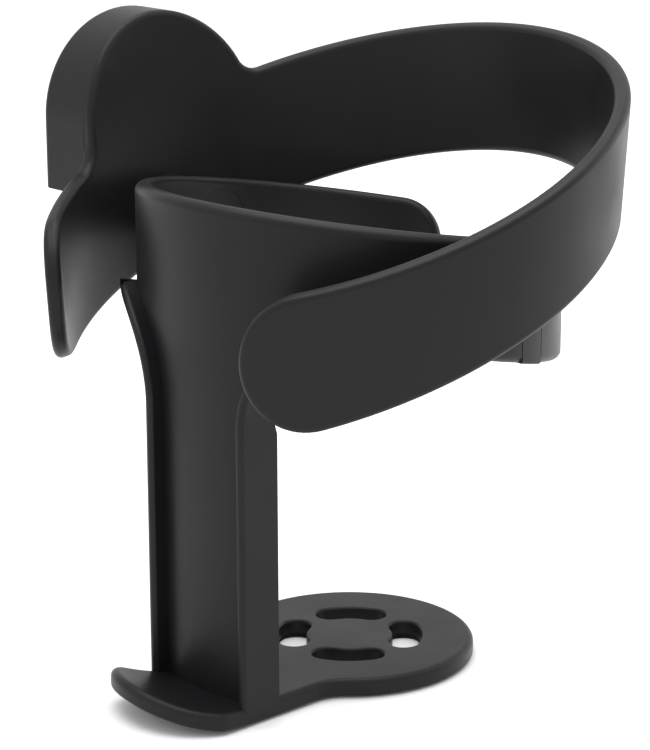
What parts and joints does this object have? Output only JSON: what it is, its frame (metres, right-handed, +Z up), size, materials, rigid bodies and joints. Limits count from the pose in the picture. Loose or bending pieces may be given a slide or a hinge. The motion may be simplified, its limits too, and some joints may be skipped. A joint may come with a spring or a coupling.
{
  "type": "swinging cup holder",
  "caption": "Cup holder with a tapered grip band carrying a clamp socket, and a collar, column and round base that swing inside it on a pair of pivots.",
  "frame": {"origin": "centre of the foot pad's underside, on the surface the holder stands on", "axes": "+Z up, the column on the -Y side, the clamp socket on the -X side; the swing axis is parallel to X"},
  "size_m": [0.1073, 0.0976, 0.1083],
  "materials": {
    "moulding": "fine satin texture",
    "pad": "matt",
    "bush": "smooth acetal",
    "liner": "smooth acetal",
    "steel": "turned steel",
    "spring": "drawn spring wire"
  },
  "bodies": {
    "frame": {"cup_frame": "moulding", "collar_key": "moulding", "foot_pad": "pad", "side_pin": "steel", "rear_pin": "steel", "pivot_caps": "moulding", "friction_washers": "bush"},
    "band": {"grip_band": "moulding", "side_bush": "bush", "rear_bush": "bush", "socket_liner": "liner", "latch_pin": "steel", "latch_spring": "spring"},
    "latch": {"latch_lever": "moulding"}
  },
  "joints": [
    {"name": "swing", "type": "hinge", "parent": "frame", "child": "band", "pos_m": [0, 0, 0.0734], "axis": [1, 0, 0], "range_deg": [-20, 20]},
    {"name": "latch_press", "type": "hinge", "parent": "band", "child": "latch", "pos_m": [-0.0593, 0, 0.0914], "axis": [0, 1, 0], "range_deg": [0, 6], "stiffness_Nm_per_rad": 0.05, "deforming": ["latch_spring"]}
  ]
}
